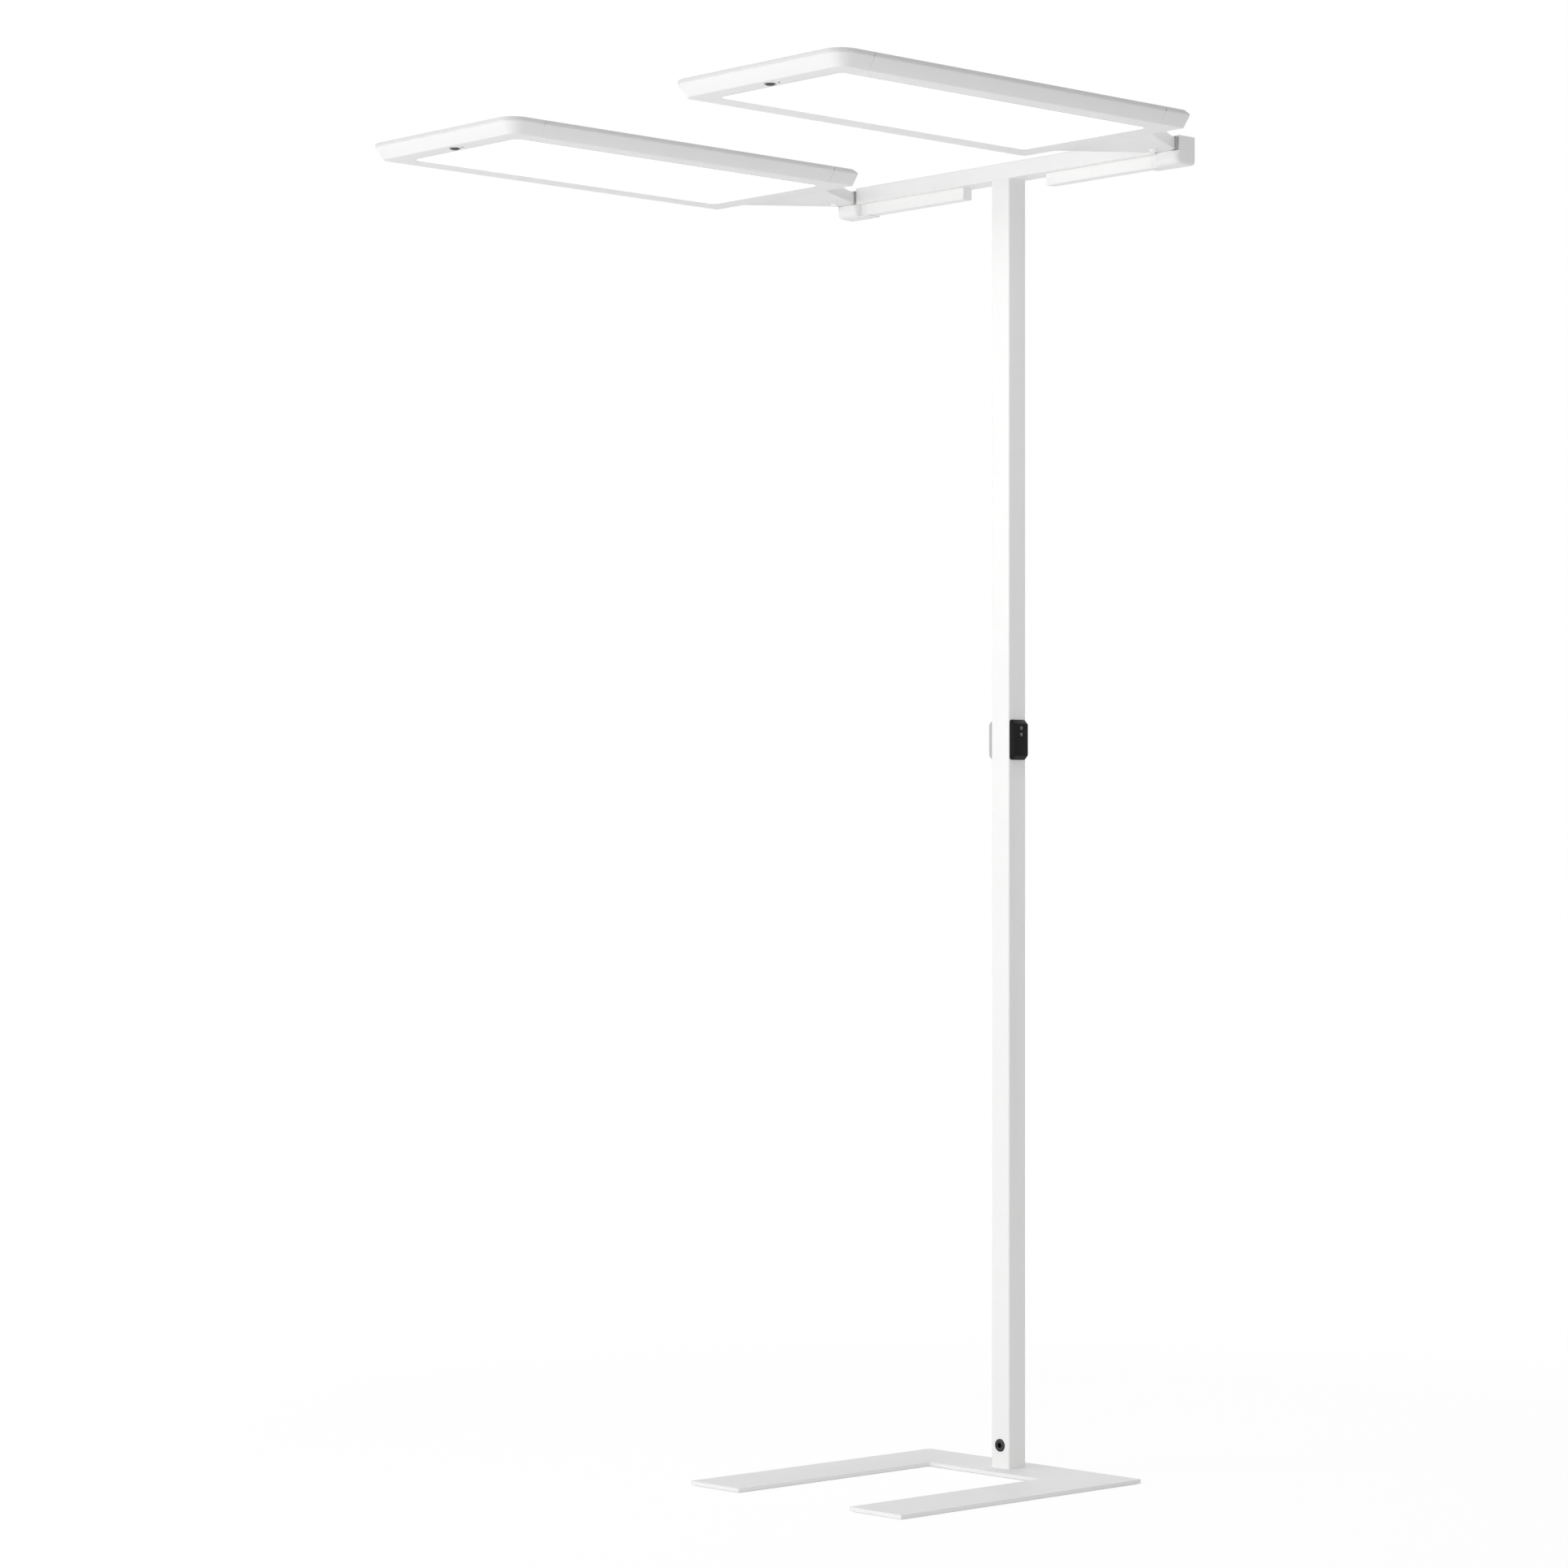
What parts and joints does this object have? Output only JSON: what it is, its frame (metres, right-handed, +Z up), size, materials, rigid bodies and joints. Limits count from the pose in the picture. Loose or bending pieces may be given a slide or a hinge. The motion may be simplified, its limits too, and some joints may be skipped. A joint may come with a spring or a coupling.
{
  "type": "office floor lamp",
  "caption": "Free-standing office floor lamp: U-shaped foot, square post with control unit, cross arm and flat heads that swivel sideways.",
  "frame": {"origin": "on the floor, under the middle of the post, on the underside of the rubber mat", "axes": "+Z up along the post; the heads and the foot's legs point to -Y; +X is across the lamp, to the side of the control unit"},
  "size_m": [0.991, 0.8745, 1.956],
  "materials": {
    "rubber_mat": "matt",
    "white_steel": "white fine-textured powder coat on steel plate",
    "zinc_screws": "zinc plated",
    "raw_aluminium": "sawn and milled, uncoated",
    "white_aluminium": "white fine-textured powder coat",
    "black_plastic": "satin black",
    "control_black": "satin black with a fine grain",
    "button_grey": "satin, dark grey",
    "circuit_board": "solder mask",
    "grey_plastic": "satin, light grey",
    "black_cast": "black coated casting",
    "seal_rubber": "matt black",
    "white_plastic": "white, fine mould grain",
    "driver_case": "drawn case, potted",
    "opal": "opal, satin outside",
    "led_board": "white solder mask with light emitters",
    "white_sheet": "diffuse white reflector coat",
    "clear_guide": "clear light guide",
    "washer_plastic": "low-friction plastic"
  },
  "bodies": {
    "stand": {"floor_mat": "rubber_mat", "base_plate": "white_steel", "base_screws": "zinc_screws", "arm_bolts": "zinc_screws", "post_foot_block": "raw_aluminium", "post_head_block": "raw_aluminium", "arm_spacer": "raw_aluminium", "post": "white_aluminium", "arm_bar": "white_aluminium", "end_block_left": "white_aluminium", "end_block_right": "white_aluminium", "cable_gland": "black_plastic", "gland_nut": "black_plastic", "control_panel": "control_black", "control_board": "circuit_board", "radio_module_cover": "grey_plastic", "swivel_tongue_left": "black_cast", "swivel_tongue_right": "black_cast", "gap_seal_left": "seal_rubber", "gap_seal_right": "seal_rubber", "driver_housing_left": "white_plastic", "driver_housing_right": "white_plastic", "led_driver_left": "driver_case", "led_driver_right": "driver_case"},
    "head_left": {"rail_inner_left": "white_aluminium", "rail_outer_left": "white_aluminium", "front_cap_left": "white_plastic", "rear_cap_left": "white_plastic", "top_cover_left": "white_aluminium", "uplight_window_left": "opal", "uplight_board_left": "led_board", "reflector_plate_left": "white_sheet", "light_guide_left": "clear_guide", "led_bars_left": "led_board", "diffuser_left": "opal", "presence_sensor_left": "black_plastic", "daylight_sensor_left": "black_plastic", "neck_left": "white_aluminium", "pivot_pin_left": "zinc_screws", "pivot_washers_left": "washer_plastic", "pivot_cap_left": "white_plastic"},
    "head_right": {"rail_inner_right": "white_aluminium", "rail_outer_right": "white_aluminium", "front_cap_right": "white_plastic", "rear_cap_right": "white_plastic", "top_cover_right": "white_aluminium", "uplight_window_right": "opal", "uplight_board_right": "led_board", "reflector_plate_right": "white_sheet", "light_guide_right": "clear_guide", "led_bars_right": "led_board", "diffuser_right": "opal", "presence_sensor_right": "black_plastic", "daylight_sensor_right": "black_plastic", "neck_right": "white_aluminium", "pivot_pin_right": "zinc_screws", "pivot_washers_right": "washer_plastic", "pivot_cap_right": "white_plastic"},
    "power_button": {"power_button": "button_grey"},
    "dimmer_button": {"dimmer_button": "button_grey"}
  },
  "joints": [
    {"name": "left_head_swivel", "type": "hinge", "parent": "stand", "child": "head_left", "pos_m": [-0.331, -0.045, 1.943], "axis": [0, 0, -1], "range_deg": [-10, 18]},
    {"name": "right_head_swivel", "type": "hinge", "parent": "stand", "child": "head_right", "pos_m": [0.331, -0.045, 1.943], "axis": [0, 0, 1], "range_deg": [-10, 18]},
    {"name": "power_button_press", "type": "slide", "parent": "stand", "child": "power_button", "axis": [-1, 0, 0], "range_m": [0, 0.0005], "stiffness_N_per_m": 900, "springref_m": -0.0005},
    {"name": "dimmer_button_press", "type": "slide", "parent": "stand", "child": "dimmer_button", "axis": [-1, 0, 0], "range_m": [0, 0.0005], "stiffness_N_per_m": 900, "springref_m": -0.0005}
  ]
}
